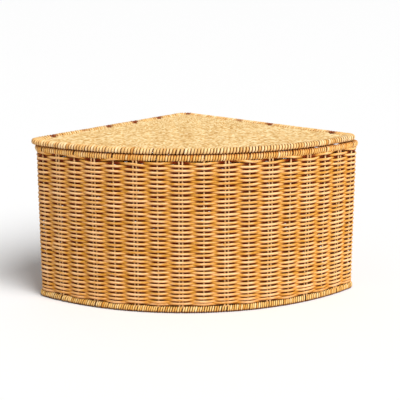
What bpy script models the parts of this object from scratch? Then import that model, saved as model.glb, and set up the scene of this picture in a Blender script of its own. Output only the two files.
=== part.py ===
# Lidded corner basket: honey-coloured imitation rattan woven on a wire frame.
# Seen from above it is a quarter circle. The round front faces -Y, the square corner +Y.
# The flat woven lid lies loose on the rim and lifts off along +Z.
# Metres, +Z up. The origin is the centre of the whole basket's bounding box, on the floor.
import math

import bmesh
import bpy
from mathutils import Vector

# Overall sizes
side_length = 0.375  # each straight side over its rims, and the radius of the round front
basket_height = 0.2468  # floor to the top of the basket's own rim
corner_radius = 0.020  # the three upright corners, outside the rims

# Strand and frame wire
strand_thickness = 0.0030  # round plastic strand
stake_radius = 0.0012  # upright and floor wires
ring_radius = 0.0014  # wire of the top and base rings
lid_ring_radius = 0.0018  # heavier wire round the lid
bend_radius = 0.0050  # a frame wire's bend where the wall meets the floor
pair_spacing = 0.0060  # between the two legs of a doubled wire

# Clearances and gaps
clearance = 0.0003  # between pieces that touch on the real basket
rim_gap = 0.0035  # bare stakes between the top row of the weave and the rim
base_flat_depth = 0.0005  # the base wrap is worn flat where it stands
lid_shift = 0.0050  # the loose lid lies this far to the left

# Spread of the upright wires, which keep clear of the corners
front_stake_margin = 0.0180  # round the front, from a corner's middle to the first wire
side_stake_margin = 0.0150  # along a side, from a front corner's middle to the first wire
front_crowding = 0.05  # the front's wires stand a little closer together near the corners
lid_stake_margin = 0.0185  # from the lid's outermost wire to where the corner's rounding starts

# Counts
side_intervals = 8  # stake spacings along each straight side, up to the square corner
front_intervals = 2 * side_intervals  # each frame wire joins a front stake to one at the back
lid_stakes_per_side = 5  # and one in the middle
front_steps = 20  # facets of the round front
corner_steps = 4  # facets of a corner
bend_steps = 3  # facets of a wire's bend
wire_sides = 6
ring_sides = 8
wrap_sides = 12  # facets of a wrap's outer face, twice those of its inner face
wall_rows = 67  # rows of strand up the wall
lid_rows = 110  # rows of strand across the lid
rib_steps = 6  # facets of the weaves' plainer faces per wire spacing

# Where rows cross between two wires, a weave's face stands this share of a strand off its middle
valley_share = 0.65
# Extra stations that carry the wall's weave round a corner, from its middle to the bend's end
bend_shares = (-0.67, 0, 0.67)

# Sizes that follow from the ones above
wrap_radius = ring_radius + strand_thickness
lid_wrap_radius = lid_ring_radius + strand_thickness
crest = stake_radius + strand_thickness
valley = valley_share * strand_thickness
channel_radius = stake_radius + clearance
base_ring_z = wrap_radius - base_flat_depth
top_ring_z = basket_height - wrap_radius
lid_z = basket_height + clearance + lid_wrap_radius
seat = ring_radius + clearance + stake_radius
floor_z = base_ring_z + math.sqrt((bend_radius + seat) ** 2 - bend_radius ** 2) - bend_radius
stake_top = top_ring_z - ring_radius - clearance
weave_bottom = base_ring_z + wrap_radius + clearance
weave_top = basket_height - 2 * wrap_radius - rim_gap
apex_rounding = corner_radius * (math.sqrt(2) - 1)
apex_y = (side_length + apex_rounding) / 2
basket_centre = Vector((lid_shift / 2, apex_y, 0))
lid_centre = Vector((-lid_shift / 2, apex_y, 0))

# Corner geometry, measured from the square corner before it is rounded
straight_reach = math.sqrt((side_length - corner_radius) ** 2 - corner_radius ** 2)
corner_lean = math.atan2(corner_radius, straight_reach)
half_root = math.sqrt(0.5)
front_corner = Vector((straight_reach - corner_radius, -straight_reach - corner_radius)) * half_root
back_corner = Vector((0, -corner_radius * math.sqrt(2)))
lid_stake_pitch = (front_corner.x - lid_stake_margin) / lid_stakes_per_side

strand_colours = {
    "wall_weave": (0.60, 0.33, 0.10),
    "base_weave": (0.52, 0.28, 0.08),
    "lid_weave": (0.68, 0.42, 0.15),
    "top_rim_wrap": (0.62, 0.35, 0.11),
    "base_rim_wrap": (0.64, 0.38, 0.13),
    "lid_rim_wrap": (0.66, 0.38, 0.12),
}
wire_colour = (0.66, 0.44, 0.22)


def remove_all():
    for thing in list(bpy.data.objects):
        bpy.data.objects.remove(thing, do_unlink=True)


def material(name, colour, roughness, metallic):
    made = bpy.data.materials.new(name)
    made.use_nodes = True
    shader = made.node_tree.nodes["Principled BSDF"]
    shader.inputs["Base Color"].default_value = (*colour, 1)
    shader.inputs["Roughness"].default_value = roughness
    shader.inputs["Metallic"].default_value = metallic
    made.diffuse_color = (*colour, 1)
    return made


def strand_material(name):
    return material(name + "_strand", strand_colours[name], 0.45, 0)


def wire_material(name):
    return material(name + "_coated_wire", wire_colour, 0.4, 0)


def add_object(name, mesh_data, finish, parent=None):
    mesh = bpy.data.meshes.new(name)
    bmesh.ops.recalc_face_normals(mesh_data, faces=mesh_data.faces)
    mesh_data.to_mesh(mesh)
    mesh_data.free()
    made = bpy.data.objects.new(name, mesh)
    bpy.context.scene.collection.objects.link(made)
    if finish:
        mesh.materials.append(finish)
    if parent:
        made.parent = parent
        made.location = -parent.location
    mesh.shade_smooth()
    mesh.set_sharp_from_angle(angle=math.radians(50))
    return made


# The quarter circle's outline, drawn in from the outside by an inset. Each run is an arc
# (centre, radius, first angle, last angle) or a straight (start, end), counterclockwise from the
# middle of the left front corner. The runs come in three groups: front, right side, left side.
def outline_runs(inset):
    radius = corner_radius - inset
    quarter = math.pi / 4
    left_corner = Vector((-front_corner.x, front_corner.y))
    right_normal = Vector((half_root, half_root))
    left_normal = Vector((-half_root, half_root))
    corner_middle = -corner_lean / 2
    front = [
        ("arc", left_corner, radius, math.pi - corner_middle, 5 * quarter + corner_lean),
        ("arc", Vector((0, 0)), side_length - inset, 5 * quarter + corner_lean, 7 * quarter - corner_lean),
        ("arc", front_corner, radius, -quarter - corner_lean, corner_middle),
    ]
    right = [
        ("arc", front_corner, radius, corner_middle, quarter),
        ("line", front_corner + radius * right_normal, back_corner + radius * right_normal),
        ("arc", back_corner, radius, quarter, 2 * quarter),
    ]
    left = [
        ("arc", back_corner, radius, 2 * quarter, 3 * quarter),
        ("line", back_corner + radius * left_normal, left_corner + radius * left_normal),
        ("arc", left_corner, radius, 3 * quarter, math.pi - corner_middle),
    ]
    return front, right, left


def run_length(run):
    if run[0] == "line":
        return (run[2] - run[1]).length
    return run[2] * (run[4] - run[3])


# A point of a run and its outward direction, at a share of the run's length
def run_point(run, share):
    if run[0] == "line":
        along = (run[2] - run[1]).normalized()
        return run[1].lerp(run[2], share), Vector((along.y, -along.x))
    angle = run[3] + share * (run[4] - run[3])
    outward = Vector((math.cos(angle), math.sin(angle)))
    return run[1] + run[2] * outward, outward


def run_length_sum(runs):
    return sum(run_length(run) for run in runs)


# The wall's whole mid-line as one list of runs
def wall_runs():
    return [run for group in outline_runs(wrap_radius) for run in group]


def runs_point(runs, distance):
    for run in runs:
        length = run_length(run)
        if distance <= length:
            return run_point(run, distance / length)
        distance -= length
    return run_point(runs[-1], 1)


# Points and outward directions all round the outline, just enough for a smooth sweep
def outline_stations(inset):
    stations = []
    for run in [run for group in outline_runs(inset) for run in group]:
        if run[0] == "line":
            steps = 1
        elif run[2] > corner_radius:
            steps = front_steps
        else:
            steps = corner_steps // 2
        stations += [run_point(run, step / steps) for step in range(steps)]
    return stations


# Stakes are numbered counterclockwise: the front's from 0 at the left, then the right side's,
# the square corner's and the left side's. Each gets its distance along the wall's mid-line.
def stake_distances():
    front, right, left = (run_length_sum(runs) for runs in outline_runs(wrap_radius))
    reach = front / 2 - front_stake_margin
    distances = []
    for index in range(front_intervals + 1):
        step = 2 * index / front_intervals - 1
        distances.append(front / 2 + reach * step * (1 + front_crowding * (1 - step ** 2)))
    spacing = (right - side_stake_margin) / side_intervals
    apex = front + right
    return distances + [apex + spacing * step for step in range(-side_intervals, side_intervals + 1)]


def last_stake():
    return front_intervals + 2 * side_intervals + 1


# Every second front stake is a doubled wire, and so is the stake that it reaches at the back
def is_pair(number):
    if number > front_intervals:
        number = last_stake() - number
    return number % 2 == 1


# Places of all the stakes, with the outward direction at each
def stake_places():
    runs = wall_runs()
    return [runs_point(runs, distance) for distance in stake_distances()]


def sweep_ring(bm, stations, section, centre, z):
    rings = []
    for point, outward in stations:
        ring = []
        for out, up in section:
            place = point + out * outward
            ring.append(bm.verts.new((place.x + centre.x, place.y + centre.y, z + up)))
        rings.append(ring)
    count = len(section)
    for here, after in zip(rings, rings[1:] + rings[:1]):
        for index in range(count):
            following = (index + 1) % count
            bm.faces.new((here[index], here[following], after[following], after[index]))


def circle_section(radius, sides):
    turns = [2 * math.pi * (side + 0.5) / sides for side in range(sides)]
    return [(radius * math.cos(turn), radius * math.sin(turn)) for turn in turns]


# The slots that let wires reach a ring through its wrap, as a first and a last angle at a radius.
# Angles start at the outward direction and turn upward.
def slot_half_angle(radius):
    return math.asin(min(channel_radius / radius, 1))


def slot_below(radius):
    half = slot_half_angle(radius)
    return 1.5 * math.pi - half, 1.5 * math.pi + half


def slot_inside(radius):
    half = slot_half_angle(radius)
    return math.pi - half, math.pi + half


# Open from the top round to the inner side, where the wires lie on the ring and bend up
def slot_above_inside(radius):
    wire_low = floor_z - base_ring_z - channel_radius
    low_angle = math.asin(max(min(wire_low / radius, 1), -1))
    return 0.5 * math.pi - slot_half_angle(radius), math.pi - low_angle


# Section of a wrap: a round sleeve over the ring wire, with a slot, cut flat below a height
def wrap_section(outer, inner, slot, lowest):
    def arc(radius, sides):
        slot_start, slot_end = slot(radius)
        sweep = slot_start + 2 * math.pi - slot_end
        turns = [slot_end + sweep * side / sides for side in range(sides + 1)]
        return [(radius * math.cos(turn), radius * math.sin(turn)) for turn in turns]

    outside = [(out, max(up, lowest)) for out, up in arc(outer, wrap_sides)]
    return outside + arc(inner, wrap_sides // 2)[::-1]


# A closed round wire along a path of points, capped at both ends
def add_wire(bm, points, radius):
    rings = []
    side = (points[1] - points[0]).orthogonal().normalized()
    for index, point in enumerate(points):
        before = points[max(index - 1, 0)]
        after = points[min(index + 1, len(points) - 1)]
        along = (after - before).normalized()
        side = (side - along * side.dot(along)).normalized()
        across = along.cross(side)
        ring = []
        for step in range(wire_sides):
            turn = 2 * math.pi * step / wire_sides
            offset = side * math.cos(turn) + across * math.sin(turn)
            ring.append(bm.verts.new(point + radius * offset))
        rings.append(ring)
    for here, after in zip(rings, rings[1:]):
        for step in range(wire_sides):
            following = (step + 1) % wire_sides
            bm.faces.new((here[step], here[following], after[following], after[step]))
    bm.faces.new(reversed(rings[0]))
    bm.faces.new(rings[-1])


# Rounds each inner corner of a path to the radius, or less where a stretch is short
def rounded_path(corners, radius):
    path = [corners[0]]
    for before, corner, after in zip(corners, corners[1:], corners[2:]):
        back = (before - corner).normalized()
        ahead = (after - corner).normalized()
        half_angle = back.angle(ahead) / 2
        room = min((before - corner).length, (after - corner).length) / 2
        reach = min(radius / math.tan(half_angle), room)
        bend = reach * math.tan(half_angle)
        centre = corner + (back + ahead).normalized() * (bend / math.sin(half_angle))
        start = corner + back * reach - centre
        end = corner + ahead * reach - centre
        for step in range(bend_steps + 1):
            path.append(centre + start.slerp(end, step / bend_steps) * bend)
    path.append(corners[-1])
    return merged_path(path)


# Leaves out a point that falls on the one before it
def merged_path(path):
    kept = [path[0]]
    for point in path[1:]:
        if (point - kept[-1]).length > clearance / 2:
            kept.append(point)
    return kept


def upright(place, z):
    return Vector((place.x + basket_centre.x, place.y + basket_centre.y, z))


# A single wire: up the front wall, along the floor and up the back wall
def single_wire_path(front, back):
    corners = [
        upright(front, stake_top),
        upright(front, floor_z),
        upright(back, floor_z),
        upright(back, stake_top),
    ]
    return rounded_path(corners, bend_radius)


# A doubled wire: the same route twice, side by side, joined by a hairpin below the front rim
def pair_wire_path(front, front_outward, back, back_outward):
    front_offset = Vector((-front_outward.y, front_outward.x)) * pair_spacing / 2
    back_offset = Vector((-back_outward.y, back_outward.x)) * pair_spacing / 2
    hairpin_top = stake_top - stake_radius
    there = [
        upright(back - back_offset, stake_top),
        upright(back - back_offset, floor_z),
        upright(front + front_offset, floor_z),
        upright(front + front_offset, hairpin_top),
    ]
    home = [
        upright(front - front_offset, hairpin_top),
        upright(front - front_offset, floor_z),
        upright(back + back_offset, floor_z),
        upright(back + back_offset, stake_top),
    ]
    return rounded_path(there + home, bend_radius)


# Every frame wire of the basket by name. Each joins a front stake to the one at the back that
# mirrors its number, so the outermost ones only cut across a front corner.
def basket_wires():
    places = stake_places()
    wires = {}
    singles = 0
    pairs = 0
    for number in range(front_intervals + 1):
        point, outward = places[number]
        behind, behind_outward = places[last_stake() - number]
        if is_pair(number):
            pairs += 1
            wires[f"frame_wire_pair_{pairs}"] = pair_wire_path(point, outward, behind, behind_outward)
        else:
            singles += 1
            wires[f"frame_wire_single_{singles}"] = single_wire_path(point, behind)
    return wires


# Half the thickness of a weave's plainer face at a share of the way from one wire to the next.
# It stays thick for half the pair spacing on each side of a doubled wire.
def rib_height(share, spacing, start_flat, end_flat):
    ramp = (share * spacing - start_flat) / (spacing - start_flat - end_flat)
    ramp = min(max(ramp, 0), 1)
    return valley + (crest - valley) * (0.5 + 0.5 * math.cos(2 * math.pi * ramp))


# The woven face across all its rows, as distances from its first edge and heights. A row passes
# over every second wire and its neighbours over the others, so they swap places between two wires.
def woven_profile(width, rows, wire, share):
    profile = [(0, valley)]
    for row in range(rows):
        swing = (1 - 2 * share) * (-1) ** (wire + row)
        height = (crest + valley) / 2 + (crest - valley) / 2 * swing
        profile.append((width * (row + 0.5) / rows, height))
    return profile + [(width, valley)]


# Fills the strip between two columns of the woven face. Each cell is folded along its lower
# diagonal, so that every strand that passes over a wire stands up as a low pyramid.
def add_strip(bm, here, after):
    for low, high in zip(range(len(here)), range(1, len(here))):
        (first, first_height), (last, last_height) = here[low], here[high]
        (second, second_height), (third, third_height) = after[low], after[high]
        if first_height + third_height < second_height + last_height:
            bm.faces.new((first, second, third))
            bm.faces.new((first, third, last))
        else:
            bm.faces.new((first, second, last))
            bm.faces.new((second, third, last))


# Distances along the wall's mid-line of the extra stations in the corners, for one round and more
def bend_distances(round_trip):
    front, right, left = (run_length_sum(runs) for runs in outline_runs(wrap_radius))
    half_bend = (corner_radius - wrap_radius) * math.pi / 4
    middles = (0, front, front + right, round_trip)
    return [middle + share * half_bend for middle in middles for share in bend_shares]


# The wall's weave has its rows on the outer face, and a plain rib inside over every wire
def wall_weave():
    runs = wall_runs()
    round_trip = run_length_sum(runs)
    starts = stake_distances()
    ends = starts[1:] + [starts[0] + round_trip]
    start_flats = [pair_spacing / 2 * is_pair(number) for number in range(len(starts))]
    end_flats = start_flats[1:] + start_flats[:1]
    bm = bmesh.new()

    def add_point(distance, offset, z):
        point, outward = runs_point(runs, distance % round_trip)
        return bm.verts.new(upright(point + offset * outward, z))

    def outer_column(number, distance):
        share = (distance - starts[number]) / (ends[number] - starts[number])
        profile = woven_profile(weave_top - weave_bottom, wall_rows, number, share)
        return [(add_point(distance, height, weave_bottom + along), height) for along, height in profile]

    def inner_column(number, share):
        spacing = ends[number] - starts[number]
        half = rib_height(share, spacing, start_flats[number], end_flats[number])
        distance = starts[number] + share * spacing
        return [add_point(distance, -half, z) for z in (weave_bottom, weave_top)]

    outer = []
    inner = []
    for number, (start, end) in enumerate(zip(starts, ends)):
        bends = [bend for bend in bend_distances(round_trip) if start < bend < end]
        outer.append([outer_column(number, distance) for distance in [start] + bends])
        inner.append([inner_column(number, step / rib_steps) for step in range(rib_steps)])
    for number in range(len(starts)):
        following = (number + 1) % len(starts)
        outside = outer[number] + [outer[following][0]]
        inside = inner[number] + [inner[following][0]]
        for here, after in zip(outside, outside[1:]):
            add_strip(bm, here, after)
        for here, after in zip(inside, inside[1:]):
            bm.faces.new((here[0], here[1], after[1], after[0]))
        for edge in (0, -1):
            rim = [column[edge][0] for column in outside]
            bm.faces.new(rim + [column[edge] for column in inside[::-1]])
    return bm


def flat_plate(inset, centre, low, high):
    bm = bmesh.new()
    points = [point for point, outward in outline_stations(inset)]
    bottom = [bm.verts.new((point.x + centre.x, point.y + centre.y, low)) for point in points]
    face = bm.faces.new(bottom)
    raised = bmesh.ops.extrude_face_region(bm, geom=[face])["geom"]
    top = [item for item in raised if isinstance(item, bmesh.types.BMVert)]
    bmesh.ops.translate(bm, vec=(0, 0, high - low), verts=top)
    return bm


# A slab that is cut to the plate's outline afterwards. Its rows show on the upper face, and
# below it has a rib under each of the lid's wires.
def lid_slab():
    bm = bmesh.new()
    spans = lid_stakes_per_side + 1
    half_width = spans * lid_stake_pitch
    back = lid_centre.y
    front = lid_centre.y - side_length
    upper = []
    for wire in range(-spans, spans + 1):
        x = lid_centre.x + wire * lid_stake_pitch
        profile = woven_profile(side_length, lid_rows, wire, 0)
        places = [((x, front + along, lid_z + height), height) for along, height in profile]
        upper.append([(bm.verts.new(place), height) for place, height in places])
    lower = []
    for step in range(2 * spans * rib_steps + 1):
        x = lid_centre.x - half_width + lid_stake_pitch * step / rib_steps
        z = lid_z - rib_height(step / rib_steps % 1, lid_stake_pitch, 0, 0)
        lower.append([bm.verts.new((x, y, z)) for y in (front, back)])
    for here, after in zip(upper, upper[1:]):
        add_strip(bm, here, after)
    for here, after in zip(lower, lower[1:]):
        bm.faces.new((here[0], here[1], after[1], after[0]))
    for edge in (0, -1):
        bm.faces.new([column[edge][0] for column in upper] + [column[edge] for column in lower[::-1]])
        bm.faces.new([vertex for vertex, height in upper[edge]] + lower[edge][::-1])
    return bm


def cut(target, cutter, operation):
    cutter.hide_render = True
    cutter.display_type = "WIRE"
    boolean = target.modifiers.new(operation.lower() + "_" + cutter.name, "BOOLEAN")
    boolean.operation = operation
    boolean.solver = "EXACT"
    boolean.object = cutter


# Front and back ends, along Y, of a lid wire that butts against the lid's ring
def lid_wire_ends(x):
    gap = lid_ring_radius + clearance
    middle = lid_wrap_radius
    front_radius = side_length - middle
    front_tangent = x / front_radius
    front_inset = middle + gap + stake_radius * abs(front_tangent)
    front = -math.sqrt((side_length - front_inset) ** 2 - x ** 2)
    rounding = (corner_radius - middle) * half_root
    if abs(x) < rounding:
        tangent = x / (corner_radius - middle)
        radius = corner_radius - middle - gap - stake_radius * abs(tangent)
        back = back_corner.y + math.sqrt(max(radius ** 2 - x ** 2, 0))
    else:
        inset = middle + gap + stake_radius * half_root
        back = -abs(x) - inset * math.sqrt(2)
    return front, back


def lid_wires():
    wires = {}
    for index in range(-lid_stakes_per_side, lid_stakes_per_side + 1):
        x = index * lid_stake_pitch
        front, back = lid_wire_ends(x)
        ends = [
            Vector((lid_centre.x + x, lid_centre.y + front, lid_z)),
            Vector((lid_centre.x + x, lid_centre.y + back, lid_z)),
        ]
        wires[f"lid_stake_{index + lid_stakes_per_side + 1:02d}"] = ends
    return wires


def add_wires(wires, parent=None):
    for name, path in wires.items():
        bm = bmesh.new()
        add_wire(bm, path, stake_radius)
        add_object(name, bm, wire_material(name), parent)


# All the channels that the wires need through the weave, as one cutter.
# A straight wire's channel runs on past both ends, so that it cuts right through.
def add_channels(name, wires, overrun, parent=None):
    bm = bmesh.new()
    for path in wires.values():
        first = path[0] + (path[0] - path[1]).normalized() * overrun
        last = path[-1] + (path[-1] - path[-2]).normalized() * overrun
        add_wire(bm, [first] + path[1:-1] + [last], channel_radius)
    return add_object(name, bm, None, parent)


# A ring of wire and the strand wrapped round it, at a height and around a centre
def add_ring_and_wrap(place, centre, z, wire, slot, lowest, parent=None):
    ring_name = place + "_ring"
    wrap_name = place + "_rim_wrap"
    wrap = wire + strand_thickness
    stations = outline_stations(wrap)
    bm = bmesh.new()
    sweep_ring(bm, stations, circle_section(wire, ring_sides), centre, z)
    add_object(ring_name, bm, wire_material(ring_name), parent)
    bm = bmesh.new()
    section = wrap_section(wrap, wire + clearance, slot, lowest)
    sweep_ring(bm, stations, section, centre, z)
    add_object(wrap_name, bm, strand_material(wrap_name), parent)


def build_basket():
    wires = basket_wires()
    add_wires(wires)
    channels = add_channels("basket_channels", wires, clearance)
    weave = add_object("wall_weave", wall_weave(), strand_material("wall_weave"))
    cut(weave, channels, "DIFFERENCE")

    floor_inset = 2 * wrap_radius + clearance
    plate = flat_plate(floor_inset, basket_centre, floor_z - crest, floor_z + crest)
    floor = add_object("base_weave", plate, strand_material("base_weave"))
    cut(floor, channels, "DIFFERENCE")

    add_ring_and_wrap("top", basket_centre, top_ring_z, ring_radius, slot_below, -wrap_radius)
    add_ring_and_wrap("base", basket_centre, base_ring_z, ring_radius, slot_above_inside, -base_ring_z)


def build_lid():
    slide = bpy.data.objects.new("lid_slide", None)
    slide.location = (lid_centre.x, 0, basket_height)
    bpy.context.scene.collection.objects.link(slide)

    wires = lid_wires()
    add_wires(wires, slide)
    slab = lid_slab()
    weave = add_object("lid_weave", slab, strand_material("lid_weave"), slide)
    lid_inset = 2 * lid_wrap_radius + clearance
    outline = flat_plate(lid_inset, lid_centre, lid_z - 2 * crest, lid_z + 2 * crest)
    cut(weave, add_object("lid_outline", outline, None, slide), "INTERSECT")
    cut(weave, add_channels("lid_channels", wires, clearance, slide), "DIFFERENCE")

    add_ring_and_wrap("lid", lid_centre, lid_z, lid_ring_radius, slot_inside, -lid_wrap_radius, slide)


remove_all()
build_basket()
build_lid()
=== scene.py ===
# Lidded corner basket in honey imitation rattan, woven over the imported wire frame.
# Every strand and wire is swept along a numpy path. All sizes are in metres.
import math

import bpy
import numpy as np
from mathutils import Matrix, Vector


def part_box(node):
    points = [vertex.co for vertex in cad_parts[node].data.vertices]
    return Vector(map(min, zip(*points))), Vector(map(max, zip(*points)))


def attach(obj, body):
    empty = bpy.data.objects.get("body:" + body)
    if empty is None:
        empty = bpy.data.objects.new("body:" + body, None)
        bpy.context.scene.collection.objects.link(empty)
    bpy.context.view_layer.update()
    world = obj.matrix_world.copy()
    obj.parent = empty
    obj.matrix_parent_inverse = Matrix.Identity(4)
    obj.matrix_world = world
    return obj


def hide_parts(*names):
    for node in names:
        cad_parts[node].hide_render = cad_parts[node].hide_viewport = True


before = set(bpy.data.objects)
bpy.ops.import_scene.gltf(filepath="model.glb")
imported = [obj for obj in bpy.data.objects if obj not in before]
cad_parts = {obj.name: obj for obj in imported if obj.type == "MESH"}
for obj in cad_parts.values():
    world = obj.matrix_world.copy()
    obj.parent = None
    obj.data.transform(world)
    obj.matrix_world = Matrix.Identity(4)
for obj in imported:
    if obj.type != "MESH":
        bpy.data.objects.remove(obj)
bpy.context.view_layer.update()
print("frame loaded,", len(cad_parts), "solids")

dice = np.random.default_rng(38)

# The rounded quarter circle that basket and lid share, seen from above
plan = {
    "side": 0.375,  # each straight side, and the radius of the round front
    "corner": 0.020,  # rounding of the three upright corners
    "frontSpaces": 16,  # stake spacings round the front
    "sideSpaces": 8,  # and along each straight side, up to the square corner
    "frontMargin": 0.0180,  # round the front, from a corner's middle to the first stake
    "sideMargin": 0.0150,  # and along a straight side
    "frontCrowding": 0.05,  # the front's stakes stand a little closer together near the corners
    "pairGap": 0.0052,  # between the two legs of a doubled wire
    "wallInset": 0.0044,  # mid-line of the wall, in from the outside
    "lidInset": 0.0048,  # mid-line of the lid's ring
    "basketX": 0.0025,  # the loose lid lies a little to the left of the basket
    "lidX": -0.0025,
    "points": (24, 480, 16),  # of an outline: half a front corner, the front, half the square corner
}
plan["apexY"] = (plan["side"] + plan["corner"] * (math.sqrt(2) - 1)) / 2


# sRGB hex to the linear values that shaders use
def linearColour(code):
    parts = [int(code[place:place + 2], 16) / 255 for place in (1, 3, 5)]
    return [part / 12.92 if part <= 0.04045 else ((part + 0.055) / 1.055) ** 2.4 for part in parts] + [1]


# Adds a node, gives it its settings, and fills or links its inputs
def addNode(tree, kind, inputs=None, **settings):
    node = tree.nodes.new(kind)
    for key, value in settings.items():
        setattr(node, key, value)
    for key, value in (inputs or {}).items():
        if isinstance(value, bpy.types.NodeSocket):
            tree.links.new(value, node.inputs[key])
        else:
            node.inputs[key].default_value = value
    return node


def newMaterial(name):
    material = bpy.data.materials.new(name)
    material.use_nodes = True
    return material, material.node_tree, material.node_tree.nodes["Principled BSDF"]


# "pale", "honey" and "amber" are the marbling. The two colours after them are painted shade,
# redder the deeper: where a strand lies between or behind others its colour is painted from
# "shade" towards the darker one, and the number after them is how much of the marbling they cover.
strandLooks = {
    "wall": {
        "pale": "#FFCE94", "honey": "#DA9B3C", "amber": "#A2660E", "shade": "#B85A04", "deepShade": "#7C1A00",
        "paintedShadeCover": 0.96, "patch": 0.009, "spread": 0.18, "roughness": 0.42, "gloss": 0.12,
    },
    "rim": {
        "pale": "#FFE0A8", "honey": "#F4BE68", "amber": "#D28832", "shade": "#C46810", "deepShade": "#8C3404",
        "paintedShadeCover": 0.93, "patch": 0.012, "spread": 0.16, "roughness": 0.42, "gloss": 0.15,
    },
    "base": {
        "pale": "#FFE4AA", "honey": "#F2C26E", "amber": "#D09038", "shade": "#B8600A", "deepShade": "#5C1A00",
        "paintedShadeCover": 0.95, "patch": 0.012, "spread": 0.16, "roughness": 0.44, "gloss": 0.15,
    },
    "lid": {
        "pale": "#F6DEAC", "honey": "#E2BE80", "amber": "#C49450", "shade": "#C08030", "deepShade": "#7A4218",
        "paintedShadeCover": 0.35, "patch": 0.003, "spread": 0.15, "roughness": 0.48, "gloss": 0.25,
    },
    "lidRim": {
        "pale": "#FFEABC", "honey": "#F2C884", "amber": "#D09648", "shade": "#C0640E", "deepShade": "#843000",
        "paintedShadeCover": 0.92, "patch": 0.012, "spread": 0.16, "roughness": 0.46, "gloss": 0.18,
    },
}
strandSurface = {
    "patchesAcross": 650,  # to a metre, so a patch of the marbling is 1.5 mm wide and look["patch"] long
    "linesAcross": 2500,  # draw lines of 0.4 mm, coarser than the real ones so that they show
    "linesAlong": 40,
    "lineBump": 0.35,
    "lineDepth": 0.0002,
    "lineGloss": 0.07,  # how much rougher and smoother the draw lines are
    "noiseRange": (0.3, 0.7),  # nearly all of a noise lies in it
    "shadeAt": 0.1,  # painted shade at which the colour is "shade"; at the next value it is the darker shade colour
    "deepShadeAt": 0.8,
    "ior": 1.5,
}


# Extruded polyethylene strand, the usual imitation rattan: a satin plastic, marbled honey and
# amber along its length, with fine draw lines and painted shade where it lies between or behind
# others. "grain" is a point in the straightened strand.
def strandPlastic(name, look):
    material, tree, shader = newMaterial(name)
    surface = strandSurface
    grain = addNode(tree, "ShaderNodeAttribute", attribute_name="grain")
    tone = addNode(tree, "ShaderNodeAttribute", attribute_name="tone")
    paintedShade = addNode(tree, "ShaderNodeAttribute", attribute_name="paintedShade")
    patchScale = (surface["patchesAcross"], surface["patchesAcross"], 1 / look["patch"])
    patches = addNode(tree, "ShaderNodeMapping", {"Vector": grain.outputs["Vector"], "Scale": patchScale})
    marbled = addNode(tree, "ShaderNodeTexNoise", {
        "Vector": patches.outputs["Vector"], "Scale": 1.0, "Detail": 3.0})
    lineScale = (surface["linesAcross"], surface["linesAcross"], surface["linesAlong"])
    drawn = addNode(tree, "ShaderNodeMapping", {"Vector": grain.outputs["Vector"], "Scale": lineScale})
    lines = addNode(tree, "ShaderNodeTexNoise", {
        "Vector": drawn.outputs["Vector"], "Scale": 1.0, "Detail": 2.0})
    share = addNode(tree, "ShaderNodeMath", {
        0: marbled.outputs["Fac"], 1: tone.outputs["Fac"]}, operation="ADD")
    half = addNode(tree, "ShaderNodeMath", {0: share.outputs[0], 1: 0.5}, operation="MULTIPLY")
    # a smaller spread makes the patches stronger
    ramp = addNode(tree, "ShaderNodeValToRGB", {"Fac": half.outputs[0]})
    ramp.color_ramp.elements[0].position = 0.5 - look["spread"]
    ramp.color_ramp.elements[0].color = linearColour(look["amber"])
    ramp.color_ramp.elements[1].position = 0.5 + look["spread"]
    ramp.color_ramp.elements[1].color = linearColour(look["pale"])
    middle = ramp.color_ramp.elements.new(0.5)
    middle.color = linearColour(look["honey"])
    # painted shade: the shade attribute mixes the marbling towards the two shade colours where shade falls
    deep = addNode(tree, "ShaderNodeMath", {
        0: paintedShade.outputs["Fac"], 1: look["paintedShadeCover"]}, operation="MULTIPLY")
    depth = addNode(tree, "ShaderNodeValToRGB", {"Fac": paintedShade.outputs["Fac"]})
    depth.color_ramp.elements[0].position = surface["shadeAt"]
    depth.color_ramp.elements[0].color = linearColour(look["shade"])
    depth.color_ramp.elements[1].position = surface["deepShadeAt"]
    depth.color_ramp.elements[1].color = linearColour(look["deepShade"])
    shaded = addNode(tree, "ShaderNodeMix", {
        "Factor": deep.outputs[0], "A": ramp.outputs["Color"], "B": depth.outputs["Color"]}, data_type="RGBA")
    rough = addNode(tree, "ShaderNodeMapRange", {
        "Value": lines.outputs["Fac"],
        "From Min": surface["noiseRange"][0], "From Max": surface["noiseRange"][1],
        "To Min": look["roughness"] - surface["lineGloss"],
        "To Max": look["roughness"] + surface["lineGloss"]})
    bump = addNode(tree, "ShaderNodeBump", {
        "Strength": surface["lineBump"], "Distance": surface["lineDepth"], "Height": lines.outputs["Fac"]})
    tree.links.new(shaded.outputs["Result"], shader.inputs["Base Color"])
    tree.links.new(rough.outputs["Result"], shader.inputs["Roughness"])
    tree.links.new(bump.outputs["Normal"], shader.inputs["Normal"])
    shader.inputs["IOR"].default_value = surface["ior"]
    shader.inputs["Specular IOR Level"].default_value = look["gloss"]
    shader.inputs["Metallic"].default_value = 0.0
    return material


strandPlastics = {
    "wall": strandPlastic("polyethyleneWallStrand", strandLooks["wall"]),
    "rim": strandPlastic("polyethyleneRimStrand", strandLooks["rim"]),
    "base": strandPlastic("polyethyleneBaseStrand", strandLooks["base"]),
    "lid": strandPlastic("polyethyleneLidStrand", strandLooks["lid"]),
    "lidRim": strandPlastic("polyethyleneLidRimStrand", strandLooks["lidRim"]),
}
coat = {
    "cream": "#F4CC92",
    "ripple": "#DCA468",
    # painted shade: the dark colour a wire is painted where it lies in shade
    "deepShade": "#501800",
    "rippleScale": (400, 400, 160),  # to a metre, so a ripple is 6 mm long
    "rippleEdges": (0.35, 0.65),
    "rippleBump": 0.2,
    "rippleDepth": 0.0001,
    "ior": 1.5,
    "gloss": 0.25,
    "roughness": 0.38,
}
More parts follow.
